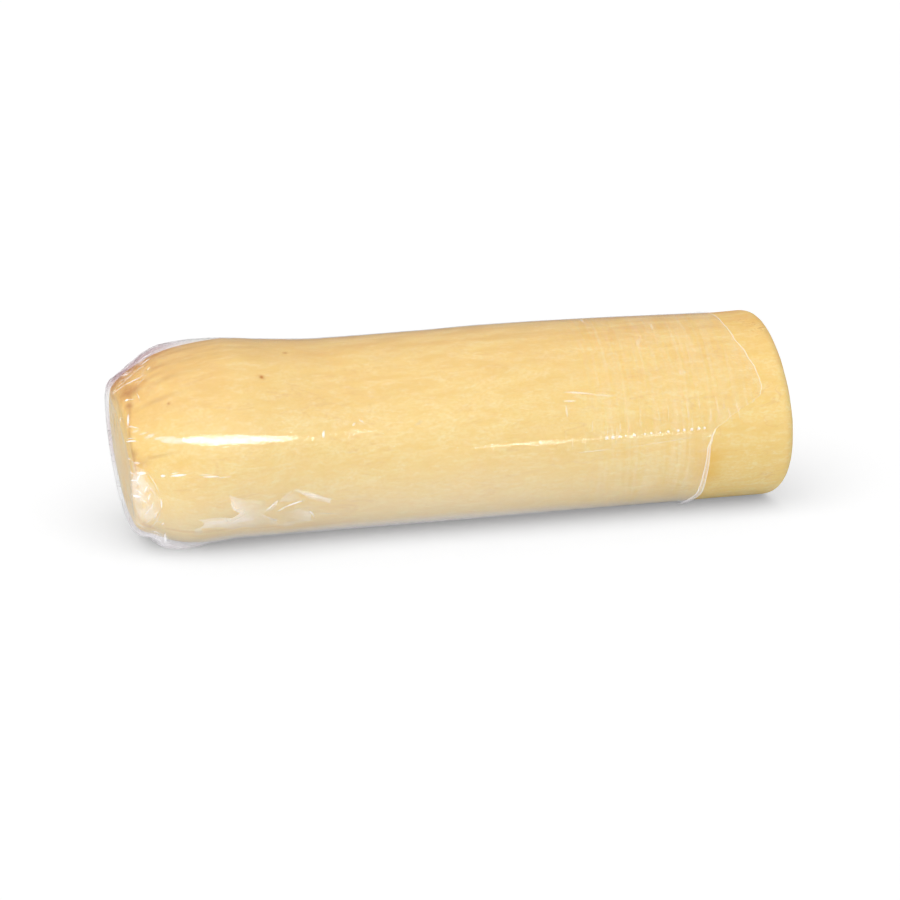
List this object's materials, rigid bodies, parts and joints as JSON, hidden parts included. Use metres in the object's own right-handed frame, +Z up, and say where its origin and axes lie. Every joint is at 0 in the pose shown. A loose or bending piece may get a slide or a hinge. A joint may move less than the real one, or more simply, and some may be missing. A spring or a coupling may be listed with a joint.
{
  "type": "smoked provolone log",
  "caption": "Smoked provolone log lying on its side in clear film, tapered and gathered at one end and cut across at the other.",
  "frame": {"origin": "bottom centre of the bounding box, on the surface that the log rests on", "axes": "+X along the log from its gathered, film-covered end to its bare cut end, +Z up, the shown side at -Y"},
  "size_m": [0.429, 0.1278, 0.1248],
  "materials": {
    "cheese": "satin",
    "clear_film": "gloss"
  },
  "bodies": {
    "root": {"cheese_log": "cheese", "film_wrap": "clear_film"}
  },
  "joints": []
}
